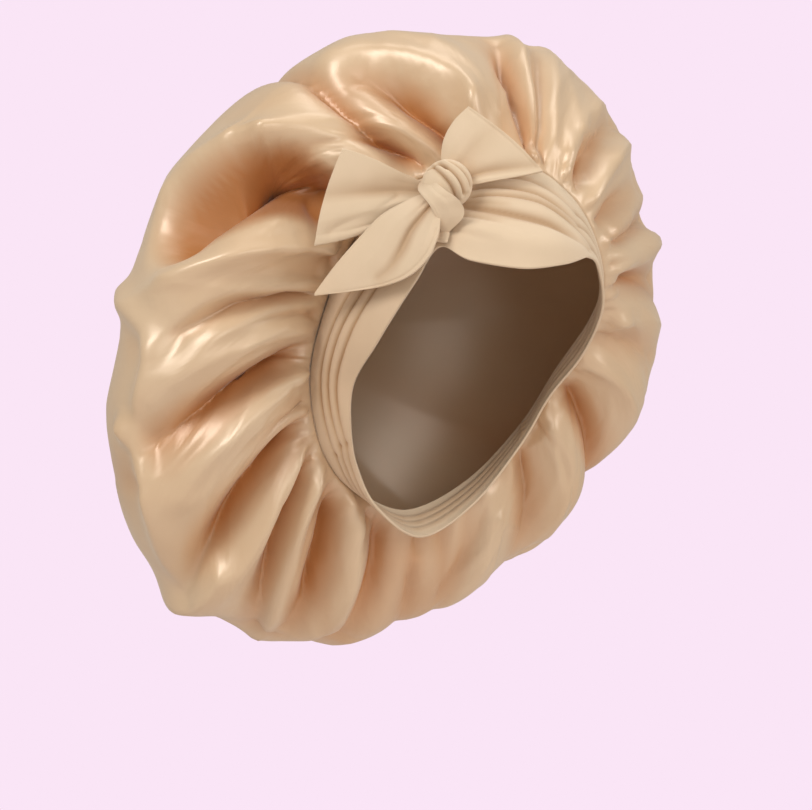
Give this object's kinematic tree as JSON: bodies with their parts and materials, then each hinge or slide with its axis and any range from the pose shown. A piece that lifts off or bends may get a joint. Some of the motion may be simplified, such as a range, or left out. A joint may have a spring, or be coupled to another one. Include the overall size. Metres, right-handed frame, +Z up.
{
  "type": "sleep bonnet",
  "caption": "Big puffed satin sleep bonnet in its worn form, gathered onto a wide pleated jersey band with a knotted bow at one temple.",
  "frame": {"origin": "the middle of the wearer's head, inside the band", "axes": "+Z up, the wearer faces -Y, +X is the wearer's left"},
  "size_m": [0.372, 0.3121, 0.3941],
  "materials": {
    "satin": "glossy champagne satin with long soft highlights",
    "jersey": "matte knitted jersey, a little paler than the satin"
  },
  "bodies": {
    "root": {"crown": "satin", "band": "jersey", "knot": "jersey", "bow_ear_left": "jersey", "bow_ear_right": "jersey", "tail_long": "jersey", "tail_short": "jersey"}
  },
  "joints": []
}
